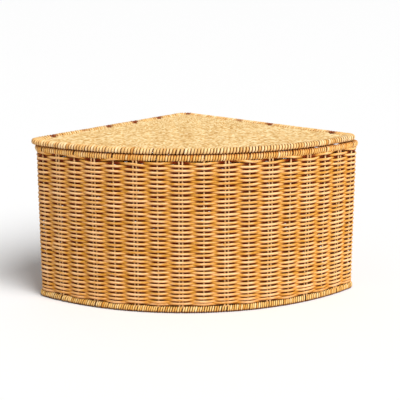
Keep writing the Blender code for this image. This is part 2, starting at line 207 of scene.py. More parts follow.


# Steel wire in a thin cream polyethylene coat: smoother than the strand, with faint ripples where
# the coat was drawn on, and painted shade where it lies between passes of strand
def coatedWire(name):
    material, tree, shader = newMaterial(name)
    grain = addNode(tree, "ShaderNodeAttribute", attribute_name="grain")
    paintedShade = addNode(tree, "ShaderNodeAttribute", attribute_name="paintedShade")
    stretched = addNode(tree, "ShaderNodeMapping", {
        "Vector": grain.outputs["Vector"], "Scale": coat["rippleScale"]})
    ripples = addNode(tree, "ShaderNodeTexNoise", {
        "Vector": stretched.outputs["Vector"], "Scale": 1.0, "Detail": 2.0})
    ramp = addNode(tree, "ShaderNodeValToRGB", {"Fac": ripples.outputs["Fac"]})
    for element, position, colour in zip(ramp.color_ramp.elements, coat["rippleEdges"], ("ripple", "cream")):
        element.position = position
        element.color = linearColour(coat[colour])
    # painted shade: the shade attribute mixes the coat towards that dark colour
    shaded = addNode(tree, "ShaderNodeMix", {
        "Factor": paintedShade.outputs["Fac"], "A": ramp.outputs["Color"],
        "B": linearColour(coat["deepShade"])}, data_type="RGBA")
    bump = addNode(tree, "ShaderNodeBump", {
        "Strength": coat["rippleBump"], "Distance": coat["rippleDepth"], "Height": ripples.outputs["Fac"]})
    tree.links.new(shaded.outputs["Result"], shader.inputs["Base Color"])
    tree.links.new(bump.outputs["Normal"], shader.inputs["Normal"])
    shader.inputs["IOR"].default_value = coat["ior"]
    shader.inputs["Specular IOR Level"].default_value = coat["gloss"]
    shader.inputs["Roughness"].default_value = coat["roughness"]
    return material


wireCoat = coatedWire("coatedSteelWire")
print("materials made")


# Arcs end to end, counterclockwise from the middle of the left front corner. A point of an arc is
# its centre + radius * (cos angle, sin angle). Straights join the arcs, because the angle at the
# end of one is the angle at the start of the next.
def outlineAt(inset, centreX):
    side, corner = plan["side"], plan["corner"]
    atCorner, atFront, atApex = plan["points"]
    reach = math.sqrt((side - corner) ** 2 - corner ** 2)
    lean = math.atan2(corner, reach)
    frontX, frontY = (reach - corner) * math.sqrt(0.5), (-reach - corner) * math.sqrt(0.5)
    small, quarter, whole = corner - inset, math.pi / 4, 2 * math.pi
    arcs = [
        (-frontX, frontY, small, math.pi + lean / 2, 5 * quarter + lean, atCorner),
        (0, 0, side - inset, 5 * quarter + lean, 7 * quarter - lean, atFront),
        (frontX, frontY, small, 7 * quarter - lean, whole - lean / 2, atCorner),
        (frontX, frontY, small, whole - lean / 2, whole + quarter, atCorner),
        (0, -corner * math.sqrt(2), small, whole + quarter, whole + 2 * quarter, atApex),
        (0, -corner * math.sqrt(2), small, whole + 2 * quarter, whole + 3 * quarter, atApex),
        (-frontX, frontY, small, whole + 3 * quarter, whole + math.pi + lean / 2, atCorner),
    ]
    angle = np.concatenate([np.linspace(arc[3], arc[4], arc[5]) for arc in arcs])
    repeat = [arc[5] for arc in arcs]
    centres = np.repeat([arc[:2] for arc in arcs], repeat, axis=0)
    radius = np.repeat([arc[2] for arc in arcs], repeat)
    x = centreX + centres[:, 0] + radius * np.cos(angle)
    y = plan["apexY"] + centres[:, 1] + radius * np.sin(angle)
    distance = np.concatenate([[0], np.cumsum(np.hypot(np.diff(x), np.diff(y)))])
    ends = distance[np.cumsum(repeat) - 1]
    return {"x": x, "y": y, "angle": angle, "distance": distance, "length": distance[-1],
            "front": ends[2], "apex": ends[4]}


# Points and outward directions at distances along an outline
def placesOn(outline, distance, z=0.0):
    along = distance % outline["length"]
    angle = np.interp(along, outline["distance"], outline["angle"])
    x = np.interp(along, outline["distance"], outline["x"])
    y = np.interp(along, outline["distance"], outline["y"])
    return (np.stack([x, y, np.broadcast_to(z, x.shape)], -1),
            np.stack([np.cos(angle), np.sin(angle), np.zeros_like(angle)], -1))


# Stakes are numbered round the outline: 0 to 16 on the front, 17 to 33 on the straight sides with
# 25 at the square corner, and 34 is 0 again. With u from -1 to 1 over the front, a front stake
# stands (half - margin) * u * (1 + crowding * (1 - u * u)) from the front's middle. The others
# are evenly spread. Between two stakes the distance grows evenly.
def stakeDistance(outline, stake):
    u = np.linspace(-1, 1, plan["frontSpaces"] + 1)
    half = outline["front"] / 2
    front = half + (half - plan["frontMargin"]) * u * (1 + plan["frontCrowding"] * (1 - u * u))
    spaces = plan["sideSpaces"]
    spacing = (outline["apex"] - outline["front"] - plan["sideMargin"]) / spaces
    behind = outline["apex"] + spacing * np.arange(-spaces, spaces + 1)
    known = np.concatenate([front, behind, front[:1] + outline["length"]])
    return np.interp(stake, np.arange(len(known)), known)


lastStake = plan["frontSpaces"] + 2 * plan["sideSpaces"] + 1
allStakes = np.arange(lastStake + 1)
# every second front stake is doubled, and so is the stake behind that its wire runs to
doubled = np.where(allStakes <= plan["frontSpaces"], allStakes, lastStake - allStakes) % 2 == 1

wallLine = outlineAt(plan["wallInset"], plan["basketX"])
lidLine = outlineAt(plan["lidInset"], plan["lidX"])
# places of the basket's stakes round the wall, and the outward directions there
stakePoints, stakeOutward = placesOn(wallLine, stakeDistance(wallLine, allStakes))


def unit(vectors):
    return vectors / np.linalg.norm(vectors, axis=-1, keepdims=True)


# Each row of a random array smoothed by a bell curve, width / (2 * pi) stations wide, and scaled
# to a spread of 1
def wander(rows, count, width):
    rough = np.fft.rfft(dice.normal(size=(rows, count)), axis=1)
    smooth = np.fft.irfft(rough * np.exp(-0.5 * (np.fft.rfftfreq(count) * width) ** 2), n=count, axis=1)
    return smooth / smooth.std()


# Strands carried along their paths. A point of a strand is
#   path + width / 2 * cos(turn) * outward + height / 2 * sin(turn) * across,
# where outward is the given direction made square to the path, and across is square to both.
# The height is one value, or one for each station. The grain starts at a chance place, so that
# no two strands have the same marbling.
def sweep(paths, outward, width, height, sides, closed):
    if closed:
        ahead = np.roll(paths, -1, 1) - np.roll(paths, 1, 1)
    else:
        ahead = np.gradient(paths, axis=1)
    ahead = unit(ahead)
    outward = unit(outward - (outward * ahead).sum(-1, keepdims=True) * ahead)
    across = np.cross(ahead, outward)
    turn = 2 * np.pi * (np.arange(sides) + 0.5) / sides
    strands, stations = paths.shape[:2]
    rise = np.broadcast_to(height, (strands, stations))[..., None] / 2 * np.sin(turn)
    spread = outward[:, :, None] * (width / 2 * np.cos(turn))[:, None]
    points = paths[:, :, None] + spread + across[:, :, None] * rise[..., None]
    index = np.arange(strands * stations * sides).reshape(strands, stations, sides)
    after = np.roll(index, -1, 1) if closed else index[:, 1:]
    here = index if closed else index[:, :-1]
    quads = np.stack([here, np.roll(here, -1, 2), np.roll(after, -1, 2), after], -1).reshape(-1, 4)
    caps = np.zeros((0, sides), int) if closed else np.concatenate([index[:, 0, ::-1], index[:, -1]])
    steps = np.linalg.norm(np.diff(paths, axis=1), axis=-1)
    along = np.concatenate([np.zeros((strands, 1)), np.cumsum(steps, 1)], 1)
    start = dice.uniform(0, 5, (strands, 3))
    grain = np.stack(np.broadcast_arrays(width / 2 * np.cos(turn), rise, along[:, :, None]), -1)
    return {"points": points, "quads": quads, "caps": caps, "turn": turn,
            "grain": grain + start[:, None, None], "shape": (strands, stations, sides)}


# Puts a sweep into a mesh that rides on a body and stands for CAD nodes
def addPiece(name, swept, tone, paintedShade, material, body, nodes):
    points, quads, caps = swept["points"].reshape(-1, 3), swept["quads"], swept["caps"]
    mesh = bpy.data.meshes.new(name)
    mesh.vertices.add(len(points))
    mesh.vertices.foreach_set("co", points.ravel())
    mesh.loops.add(quads.size + caps.size)
    mesh.loops.foreach_set("vertex_index", np.concatenate([quads.ravel(), caps.ravel()]))
    mesh.polygons.add(len(quads) + len(caps))
    starts = np.concatenate([np.arange(len(quads)) * 4, quads.size + np.arange(len(caps)) * caps.shape[1]])
    mesh.polygons.foreach_set("loop_start", starts)
    mesh.polygons.foreach_set("use_smooth", np.arange(len(starts)) < len(quads))
    mesh.update()
    mesh.validate()
    mesh.attributes.new("grain", "FLOAT_VECTOR", "POINT").data.foreach_set("vector", swept["grain"].ravel())
    for label, values in (("tone", tone), ("paintedShade", paintedShade)):
        spreadOut = np.ascontiguousarray(np.broadcast_to(values, swept["shape"]), dtype=np.float32)
        mesh.attributes.new(label, "FLOAT", "POINT").data.foreach_set("value", spreadOut.ravel())
    mesh.materials.append(material)
    piece = bpy.data.objects.new(name, mesh)
    bpy.context.scene.collection.objects.link(piece)
    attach(piece, body)
    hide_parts(*nodes)


wall = {
    "rows": 67,
    "steps": 12,  # stations per stake spacing
    "sides": 8,
    "width": 0.0028,
    "height": 0.0040,  # pressed a little flat, so that rows close up
    "innerHeight": 0.0050,  # and flatter still where they pass behind a stake
    "reach": 0.0025,  # strand's mid-line to the stake's
    "swingWander": 0.06,
    "reachWander": 0.00016,
    "riseWander": 0.00022,
    "waves": {"swing": 60, "reach": 40, "rise": 30, "lift": 25, "tone": 60},  # widths for wander
    "baseGap": 0.0032,  # the first rows stand off the base's wrap
    "baseRows": 2.2,  # rows over which that fades
    "topLift": 0.0047,  # the last row is pulled up to the rim here and there
    "topRows": 1.2,
    "liftShare": {"mean": 0.55, "wander": 0.45, "most": 1.1},
    # tones wander at random and from row to row, and the last is a painted highlight: a row is paler where it
    # swings out
    "tones": {"wander": 0.05, "row": 0.03, "crest": 0.23},
    "behind": {"gain": 2.2, "less": 0.2},  # how the painted shade grows where a strand goes behind a stake
    "underside": {"depth": 0.6, "gain": 1.4, "less": 0.25},  # and the painted shade from its flank to its underside
    "baseShade": 0.25,  # painted shade on the first rows, behind the base's wrap
    "baseShadeRows": 3,
    "bands": {"wallWeaveLower": (0, 22), "wallWeaveMiddle": (22, 44), "wallWeaveUpper": (44, 67)},
}


# How far round the weave's wave is at each stake number: a whole half wave from one stake to the
# next, waiting for half the pair gap on each side of a doubled wire
def wavePhase(outline, stake):
    first = np.floor(stake).astype(int)
    spacing = stakeDistance(outline, first + 1) - stakeDistance(outline, first)
    before = doubled[first] * plan["pairGap"] / 2
    after = doubled[(first + 1) % len(doubled)] * plan["pairGap"] / 2
    share = ((stake - first) * spacing - before) / (spacing - before - after)
    return first + np.clip(share, 0, 1)


# 1 for even rows and -1 for odd ones, which swing the other way
def rowSigns(rows):
    return 1 - 2 * (np.arange(rows)[:, None] % 2)


# A row swings out and in: mid-line + reach * cos(pi * phase), the other way in every second row
def weaveWall():
    rows, count = wall["rows"], len(allStakes) * wall["steps"]
    waves, lift, spread = wall["waves"], wall["liftShare"], wall["tones"]
    inwards, below = wall["behind"], wall["underside"]
    bottom, top = (corner.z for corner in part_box("wall_weave"))
    stake = np.arange(count) / wall["steps"]
    swing = wall["reach"] * np.cos(np.pi * wavePhase(wallLine, stake))
    swing = swing * rowSigns(rows)
    swing = swing * (1 + wall["swingWander"] * wander(rows, count, waves["swing"]))
    swing = swing + wall["reachWander"] * wander(rows, count, waves["reach"])
    pitch = (top - bottom) / rows
    number = np.arange(rows)[:, None]
    z = bottom + (number + 0.5) * pitch + wall["riseWander"] * wander(rows, count, waves["rise"])
    z += wall["baseGap"] * np.exp(-number / wall["baseRows"])
    pulled = np.clip(lift["mean"] + lift["wander"] * wander(1, count, waves["lift"]), 0, lift["most"])
    z += wall["topLift"] * pulled * np.exp((number - rows + 1) / wall["topRows"])
    places, outward = placesOn(wallLine, np.broadcast_to(stakeDistance(wallLine, stake), (rows, count)))
    paths = places + outward * swing[..., None]
    paths[..., 2] = z
    tones = 0.5 + spread["wander"] * wander(rows, count, waves["tone"])
    tones = tones + spread["row"] * dice.normal(size=(rows, 1))
    # painted highlight: paler where the row swings out over a stake
    tones = tones + spread["crest"] * np.maximum(swing, 0) / wall["reach"]
    flatter = wall["innerHeight"] - wall["height"]
    height = wall["height"] + flatter * np.maximum(-swing / wall["reach"], 0)
    for name, (low, high) in wall["bands"].items():
        band = sweep(paths[low:high], outward[low:high], wall["width"], height[low:high], wall["sides"], True)
        # painted shade: behind a stake, on each strand's underside, and on the first rows behind the base's
        # wrap
        behind = -swing[low:high, :, None] / wall["reach"] * np.cos(band["turn"])
        behind = np.clip(inwards["gain"] * behind - inwards["less"], 0, 1)
        under = below["depth"] * np.clip(below["gain"] * np.sin(band["turn"]) - below["less"], 0, 1)
        paintedBaseShade = wall["baseShade"] * np.exp(-number[low:high, :, None] / wall["baseShadeRows"])
        paintedShade = np.maximum(behind, under + (1 - under) * paintedBaseShade)
        addPiece(name, band, tones[low:high, :, None], paintedShade, strandPlastics["wall"], "basket",
                 ["wall_weave"])
    print("wall woven,", rows, "rows")


weaveWall()


lidWeave = {
    "rows": 110,
    "steps": 150,
    "sides": 8,
    "width": 0.0026,
    "height": 0.0036,
    "overHeight": 0.0046,  # a strand is pressed flat over and under the wires, so that the lid is closed
    "reach": 0.0010,  # the lid was pressed flat, so its strands dig into each other at the wires
    "inset": 0.0088,  # rows end inside the rim's wrap
    "margins": (0.0012, 0.0015),  # of the front row and the back row inside that
    "turnBack": 0.0022,  # how far past a wire a row goes to turn back round it
    "straightFrom": 0.01,  # only rows this far behind the front corners turn back
    "riseWander": 0.00015,
    "rowWander": 0.00025,
    "waves": {"rise": 12, "row": 16, "patch": 0.8},  # widths for wander
    "tones": {"patch": 0.12, "row": 0.03},
    "behindGain": 1.2,  # how fast the painted shade grows where a strand goes under a wire
    "bands": {"lidWeaveFront": (0, 50), "lidWeaveBack": (50, 110)},
    # A row that would pass its last wire by less than this turns back, which leaves a small hole:
    # for the middle wire and the next five, on the left side and on the right
    "holes": [(0, 0.010), (0.012, 0), (0.012, 0.007), (0.013, 0.011), (0.006, 0), (0.013, 0.014)],
    "holeMiddle": 0.6,  # where a hole's middle is, as a share of its size past the wire
    "holeReach": 0.008,  # how far along the rim's wrap a hole shows
    "holeGain": 1.6,
    "holeFull": 0.010,  # a hole this large shows in full
    "cornerClear": 0.005,  # and none shows this near the front corner
}


def lidWireSpacing():
    middle = [(corner.x + other.x) / 2 for corner, other in map(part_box, ("lid_stake_06", "lid_stake_07"))]
    return middle[1] - middle[0]


# How much of a hole there is beside each place on the lid's ring, from 0 to 1. There the wrap laps
# less far inwards and is painted dark as shade.
def holeShare(line, distance):
    spacing, gain = lidWireSpacing(), lidWeave["holeGain"]
    x = placesOn(line, distance)[0][:, 0] - plan["lidX"]
    share = np.zeros_like(x)
    for wire, sizes in enumerate(lidWeave["holes"]):
        for side, size in zip((-1, 1), sizes):
            middle = side * (wire * spacing + size * lidWeave["holeMiddle"])
            bump = np.clip(gain - gain * np.abs(x - middle) / lidWeave["holeReach"], 0, 1)
            share = np.maximum(share, bump * min(size / lidWeave["holeFull"], 1))
    return share * (distance > line["front"] + lidWeave["cornerClear"])


# The strand is wound round its ring in an oval. "starts" is how many strands lie side by side and
# "pitch" is from one pass to the next. A wrap opens by "gap" over the stakes "gapAt", and by less
# at some chance places, "slips".
# "lap" is how much further than round it reaches inwards over the weave, and "over" and "under"
# stretch its upper and lower half.
# Painted shade: "flanks" is how dark a strand is painted beside the next pass. "sideShade" is the
# share of it that is left along the straight sides, and "topFade" is how much of it the top loses.
# "underside" is how dark the wrap is painted below, as shade, from "undersideFrom" down, and
# "topShade" is how dark it is painted above, as shade.
rims = {
    "topRimWrap": {
        "line": wallLine, "body": "basket", "place": "top", "look": "rim",
        "ring": 0.0014, "starts": 1, "pitch": 0.0041, "width": 0.0035,
        "gap": 0.0019, "gapAt": allStakes[~doubled], "slips": 14,
        "lap": {"front": 0, "corner": 0, "side": 0}, "over": 1.0, "under": 1.5,
        "flanks": 0.95, "sideShade": 1.0, "topFade": 0.0,
        "undersideFrom": 0.75, "underside": 0.1, "topShade": 0.62,
    },
    "baseRimWrap": {
        "line": wallLine, "body": "basket", "place": "base", "look": "base",
        "ring": 0.0014, "starts": 2, "pitch": 0.0037, "width": 0.0030,
        "gap": 0.0014, "gapAt": allStakes[doubled], "slips": 18,
        "lap": {"front": 0, "corner": 0, "side": 0}, "over": 1.8, "under": 1.0,
        "flanks": 1.0, "sideShade": 1.0, "topFade": 0.0,
        "undersideFrom": -0.05, "underside": 1.0, "topShade": 0.0,
    },
    "lidRimWrap": {
        "line": lidLine, "body": "lid", "place": "lid", "look": "lidRim",
        "ring": 0.0018, "starts": 1, "pitch": 0.0049, "width": 0.0041,
        "gap": 0.0, "gapAt": [], "slips": 30,
        "lap": {"front": 0.0052, "corner": 0.0090, "side": 0.0018}, "over": 1.0, "under": 1.0,
        "flanks": 0.95, "sideShade": 0.5, "topFade": 0.1,
        "undersideFrom": 0.6, "underside": 0.9, "topShade": 0.0,
    },
}
wrapping = {
    "thickness": 0.0030,
    "sides": 8,
    "stepsPerTurn": 14,
    "turnWander": 0.05,
    "coilWander": 0.00012,
    "waves": {"turn": 40, "coil": 30, "tone": 30},  # widths for wander
    "floorZ": 0.0,  # nothing reaches below what the basket stands on
    "cornerLap": (0.020, 0.075),  # full lap up to here from a front corner, plain from there on
    "gapStray": 0.001,  # how far a gap strays from its stake
    "gapSizes": (0.6, 1.2),  # smallest and largest share of a gap
    "slip": 0.0010,  # widest chance gap between two passes
    "slipSizes": (0.3, 1.0),
    "slipClear": 0.02,  # no chance gap is this near the ring's start
    "gapsApart": 0.008,  # of two gaps closer than this one is left out
    "startClear": 0.006,  # and so is one this near the ring's start
    "toneWander": 0.06,
    "passTone": 0.08,  # how much the tone differs from pass to pass
    "passShade": 0.45,  # and the painted shade on its flanks
    "passShades": (0.3, 1.5),  # which stays between these shares
    "flankShade": {"start": 1.25, "cosine": 1.35, "power": 1.5},
    "undersideSpan": 0.4,  # of the turn's sine, over which the painted shade below sets in
    "topFrom": 0.4,  # and where and over how much of it the painted shade above does
    "topSpan": 0.5,
    "bareFrom": 0.45,  # of its cosine: inwards of here, the wrap beside a hole is painted dark, as shade
    "bareSpan": 0.3,
    "sideStart": 0.03,  # the straight sides' share sets in over this length
}


# Height of the ring of wire that a place's wrap goes round
def ringHeight(place):
    low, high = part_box(place + "_ring")
    return (low.z + high.z) / 2


# Passes of the strand counted along a ring. They are evenly spread between gaps, and at a gap the
# count stands still for its width.
def passCount(rim, distance):
    line, clear = rim["line"], wrapping["slipClear"]
    stakes = stakeDistance(line, np.asarray(rim["gapAt"], float))
    stakes = stakes + wrapping["gapStray"] * dice.normal(size=len(rim["gapAt"]))
    slips = dice.uniform(clear, line["length"] - clear, rim["slips"])
    centres = np.concatenate([stakes, slips]) % line["length"]
    widths = np.concatenate([rim["gap"] * dice.uniform(*wrapping["gapSizes"], len(stakes)),
                             wrapping["slip"] * dice.uniform(*wrapping["slipSizes"], len(slips))])
    order = np.argsort(centres)
    centres, widths = centres[order], widths[order]
    kept = np.concatenate([[True], np.diff(centres) > wrapping["gapsApart"]])
    kept &= (centres > wrapping["startClear"]) & (centres < line["length"] - wrapping["startClear"])
    centres, widths = centres[kept], widths[kept]
    runs = np.diff(np.concatenate([[0], centres, [line["length"]]]))
    passes = np.maximum(np.round(runs / rim["pitch"]), 1)
    passes[-1] += -passes.sum() % rim["starts"]
    counts = np.cumsum(passes)
    edges = np.stack([centres - widths / 2, centres + widths / 2], 1).ravel()
    knots = np.concatenate([[0], edges, [line["length"]]])
    values = np.concatenate([[0], np.repeat(counts[:-1], 2), counts[-1:]])
    return np.interp(distance, knots, values)


# How much further than round a wrap reaches inwards, all along its ring
def lapAlong(rim, distance):
    line, lap = rim["line"], rim["lap"]
    full, plain = wrapping["cornerLap"]
    places = [0, full, plain, line["front"] - plain, line["front"] - full, line["front"] + full,
              line["front"] + plain / 2, line["length"] - plain / 2, line["length"] - full]
    kinds = ["corner", "corner", "front", "front", "corner", "corner", "side", "side", "corner"]
    return np.interp(distance, places, [lap[kind] for kind in kinds])


# A helix round the ring: ring + across * cos(turn) * outward + rise * sin(turn) * up, the strands
# evenly spaced round it. On the outer face each pass climbs to the right, steeply where one strand
# is wound alone and more aslant where two are.
def wrapRim(name):
    rim = rims[name]
    starts, line, waves, flank = rim["starts"], rim["line"], wrapping["waves"], wrapping["flankShade"]
    count = int(line["length"] / (rim["pitch"] * starts) * wrapping["stepsPerTurn"])
    distance = np.arange(count) * line["length"] / count
    passes = passCount(rim, distance)
    turn = 2 * np.pi / starts * (passes[None] + np.arange(starts)[:, None] + 0.5)
    turn = turn + wrapping["turnWander"] * wander(starts, count, waves["turn"])
    ring, outward = placesOn(line, np.broadcast_to(distance, turn.shape), ringHeight(rim["place"]))
    coil = rim["ring"] + wrapping["thickness"] / 2
    coil = coil + wrapping["coilWander"] * wander(starts, count, waves["coil"])
    cosine, sine = np.cos(turn), np.sin(turn)
    bare = holeShare(line, distance) if rim["place"] == "lid" else np.zeros(count)
    across = coil + np.where(cosine < 0, lapAlong(rim, distance) * (1 - bare), 0)
    rise = coil * np.where(sine > 0, rim["over"], rim["under"])
    away = outward * (across * cosine)[..., None]
    away[..., 2] = rise * sine
    facing = outward * (cosine / across)[..., None]
    facing[..., 2] = sine / rise
    wound = sweep(ring + away, facing, wrapping["thickness"], rim["width"], wrapping["sides"], True)
    np.maximum(wound["points"][..., 2], wrapping["floorZ"], out=wound["points"][..., 2])
    passNumber = np.maximum(turn / (2 * np.pi) + 0.5, 0).astype(int)
    passTones, passShades = dice.normal(size=(2, starts, passNumber.max() + 1))
    tones = 0.5 + wrapping["toneWander"] * wander(starts, count, waves["tone"])
    tones = tones + wrapping["passTone"] * np.take_along_axis(passTones, passNumber, 1)
    flankShadeShare = 1 + wrapping["passShade"] * np.take_along_axis(passShades, passNumber, 1)
    flankShadeShare = np.clip(flankShadeShare, *wrapping["passShades"])
    # painted shade on a strand from its flanks to its back, where the next pass lies against it
    flanks = np.clip(flank["start"] - flank["cosine"] * np.cos(wound["turn"]), 0, 1) ** flank["power"]
    flanks = rim["flanks"] * flanks
    # painted shade below the wrap and above it
    shade = rim["underside"] * np.clip((-sine - rim["undersideFrom"]) / wrapping["undersideSpan"], 0, 1)
    shade = shade + rim["topShade"] * np.clip((sine - wrapping["topFrom"]) / wrapping["topSpan"], 0, 1)
    # painted shade on the wrap's inner side beside a hole in the lid
    shade = np.maximum(shade, bare * np.clip((wrapping["bareFrom"] - cosine) / wrapping["bareSpan"], 0, 1))
    # along the lid's straight sides the passes lie closer, with less painted shade between them
    near = 1 - (1 - rim["sideShade"]) * np.clip((distance - line["front"]) / wrapping["sideStart"], 0, 1)
    flanks = flanks * (near * flankShadeShare * (1 - rim["topFade"] * np.clip(sine, 0, 1)))[..., None]
    paintedShade = np.maximum(np.minimum(flanks, 1), shade[..., None])
    node = rim["place"] + "_rim_wrap"
    addPiece(name, wound, tones[:, :, None], paintedShade, strandPlastics[rim["look"]], rim["body"],
             [node])
    print(name, "wound,", int(passes[-1]), "passes")


for rimName in rims:
    wrapRim(rimName)


# The Y of each row along X inside an outline, and half the row's length: the right half of the
# outline read sideways
def flatRows(edge, weave):
    first, last = weave["margins"]
    low, high = edge["y"].min() + first, edge["y"].max() - last
    y = low + (np.arange(weave["rows"]) + 0.5) * (high - low) / weave["rows"]
    right = (edge["distance"] > edge["distance"][edge["y"].argmin()]) & (edge["distance"] <= edge["apex"])
    return y, np.interp(y, edge["y"][right], edge["x"][right])


# Rows from their coordinates, and the upward direction all along them
def flatPaths(x, y, z):
    paths = np.stack([x, y, z], -1)
    return paths, np.broadcast_to([0.0, 0.0, 1.0], paths.shape)


# Flat rows along X swing over and under the lid's wires: z + reach * cos(pi * x / spacing)
def weaveLid():
    edge = outlineAt(lidWeave["inset"], 0.0)
    rows, count, waves, spread = (lidWeave[key] for key in ("rows", "steps", "waves", "tones"))
    y, reach = flatRows(edge, lidWeave)
    spacing = lidWireSpacing()
    lastWire = np.floor(reach / spacing)
    past = reach - lastWire * spacing
    straight = y > edge["y"][edge["x"].argmax()] + lidWeave["straightFrom"]
    hole = np.array(lidWeave["holes"])[lastWire.astype(int)]
    turned = (past[:, None] < hole) & straight[:, None]
    ends = np.where(turned, (lastWire * spacing + lidWeave["turnBack"])[:, None], reach[:, None]) * [-1, 1]
    share = np.linspace(0, 1, count)[None]
    x = ends[:, :1] * (1 - share) + ends[:, 1:] * share
    swing = lidWeave["reach"] * np.cos(np.pi * x / spacing) * rowSigns(rows)
    z = ringHeight("lid") + swing + lidWeave["riseWander"] * wander(rows, count, waves["rise"])
    across = y[:, None] + lidWeave["rowWander"] * wander(rows, count, waves["row"])
    paths, up = flatPaths(x + plan["lidX"], across, z)
    # neighbouring rows share some of their tone, so that patches a few millimetres wide show
    patches = wander(rows, count, waves["patch"])
    tones = 0.5 + spread["patch"] * (patches + np.roll(patches, 1, 0))
    tones = tones + spread["row"] * dice.normal(size=(rows, 1))
    flatter = lidWeave["overHeight"] - lidWeave["height"]
    height = lidWeave["height"] + flatter * np.abs(swing) / lidWeave["reach"]
    for name, (first, last) in lidWeave["bands"].items():
        band = sweep(paths[first:last], up[first:last], lidWeave["width"], height[first:last],
                     lidWeave["sides"], False)
        # painted shade where a strand goes under a wire
        behind = -swing[first:last, :, None] / lidWeave["reach"] * np.cos(band["turn"])
        paintedShade = np.clip(behind * lidWeave["behindGain"], 0, 1)
        addPiece(name, band, tones[first:last, :, None], paintedShade, strandPlastics["lid"], "lid",
                 ["lid_weave"])
    print("lid woven,", rows, "rows")


weaveLid()


floorWeave = {
    "rows": 102,
    "steps": 96,
    "sides": 8,
    "width": 0.0030,
    "height": 0.0033,
    "reach": 0.0027,
    "inset": 0.0082,
    "margins": (0.0012, 0.0015),
    "riseWander": 0.00012,
    "rowWander": 0.00020,
    "waves": {"rise": 12, "row": 16, "tone": 10},  # widths for wander
    "tones": {"mean": 0.45, "wander": 0.12, "row": 0.08},
    # how fast the painted shade grows where a row goes under a wire
    "behindGain": 1.2,
    "wireEnds": 0.02,  # share of a wire's length by which a row may miss its end
    "tipSpacing": 0.04,  # wave of a row that crosses fewer than two wires
    "runOn": 6,  # wires by which the wave runs on past a row's last one
}
floorHeight = sum(corner.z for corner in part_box("base_weave")) / 2


# Flat rows along X over the fan of floor wires. Wire i runs from front stake i to stake 33 - i, and
# a row's swing turns over once from each wire that it crosses to the next.
def weaveFloor():
    edge = outlineAt(floorWeave["inset"], 0.0)
    rows, count, waves, spread = (floorWeave[key] for key in ("rows", "steps", "waves", "tones"))
    y, reach = flatRows(edge, floorWeave)
    x = np.linspace(-1, 1, count)[None] * reach[:, None]
    number = np.arange(1, plan["frontSpaces"])
    front = stakePoints[number] - [plan["basketX"], 0, 0]
    behind = stakePoints[lastStake - number] - [plan["basketX"], 0, 0]
    miss, runOn, middle = floorWeave["wireEnds"], floorWeave["runOn"], plan["frontSpaces"] // 2
    phase = np.zeros_like(x)
    for row in range(rows):
        share = (y[row] - front[:, 1]) / (behind[:, 1] - front[:, 1])
        crossed = (share > -miss) & (share < 1 + miss)
        places = (front[:, 0] + share * (behind[:, 0] - front[:, 0]))[crossed]
        numbers = number[crossed]
        if len(places) < 2:
            places, numbers = np.array([0.0, floorWeave["tipSpacing"]]), np.array([middle, middle + 1])
        gap = np.diff(places).mean()
        places = np.concatenate([[places[0] - runOn * gap], places, [places[-1] + runOn * gap]])
        numbers = np.concatenate([[numbers[0] - runOn], numbers, [numbers[-1] + runOn]])
        phase[row] = np.interp(x[row], places, numbers)
    swing = floorWeave["reach"] * np.cos(np.pi * phase) * rowSigns(rows)
    z = floorHeight + swing + floorWeave["riseWander"] * wander(rows, count, waves["rise"])
    across = y[:, None] + floorWeave["rowWander"] * wander(rows, count, waves["row"])
    paths, up = flatPaths(x + plan["basketX"], across, z)
    rowsSwept = sweep(paths, up, floorWeave["width"], floorWeave["height"], floorWeave["sides"], False)
    tones = spread["mean"] + spread["wander"] * wander(rows, count, waves["tone"])
    tones = tones + spread["row"] * dice.normal(size=(rows, 1))
    # painted shade where a row goes under a wire
    behind = -swing[..., None] / floorWeave["reach"] * np.cos(rowsSwept["turn"])
    paintedShade = np.clip(behind * floorWeave["behindGain"], 0, 1)
    addPiece("floorWeave", rowsSwept, tones[..., None], paintedShade, strandPlastics["wall"], "basket",
             ["base_weave"])
    print("floor woven,", rows, "rows")


weaveFloor()


wires = {
    "stakeRadius": 0.0013,
    "bend": 0.0050,
    "bendSteps": 7,
    "sides": 10,
    "leaning": (0.5, 0.7, 0.45),  # outwards, sideways and up: never along any part of a wire
    "nearest": 0.0002,  # points of a path closer than this are one
    "lidWires": 11,
    "ringSteps": 420,
    "tone": 0.5,
    "ringShade": 0.8,  # painted shade: between two passes of strand a ring lies in shade, so it is painted dark
}


# A path through corners, each rounded by an arc: centre + cos and sin of the turn along two
# directions square to each other
def roundedPath(corners):
    path = [corners[0]]
    for before, corner, after in zip(corners, corners[1:], corners[2:]):
        back, ahead = unit(before - corner), unit(after - corner)
        half = math.acos(max(-1, min(1, back @ ahead))) / 2
        room = min(np.linalg.norm(before - corner), np.linalg.norm(after - corner)) / 2
        reach = min(wires["bend"] / math.tan(half), room)
        radius = reach * math.tan(half)
        centre = corner + unit(back + ahead) * radius / math.sin(half)
        start, end = corner + back * reach - centre, corner + ahead * reach - centre
        opening = math.acos(max(-1, min(1, unit(start) @ unit(end))))
        turn = np.linspace(0, opening, wires["bendSteps"])[:, None]
        path += list(centre + (np.sin(opening - turn) * start + np.sin(turn) * end) / math.sin(opening))
    path.append(corners[-1])
    path = np.array(path)
    kept = np.concatenate([[True], np.linalg.norm(np.diff(path, axis=0), axis=1) > wires["nearest"]])
    return path[kept]


# One wire as a round tube along its path
def addWire(name, path, outward, body, node):
    out, sideways, up = wires["leaning"]
    leaning = out * outward + sideways * np.cross(outward, [0, 0, 1]) + np.array([0, 0, up])
    size = 2 * wires["stakeRadius"]
    tube = sweep(path[None], np.broadcast_to(leaning, path[None].shape), size, size, wires["sides"], False)
    addPiece(name, tube, wires["tone"], 0.0, wireCoat, body, [node])


def at(point, z):
    return np.array([point[0], point[1], z])


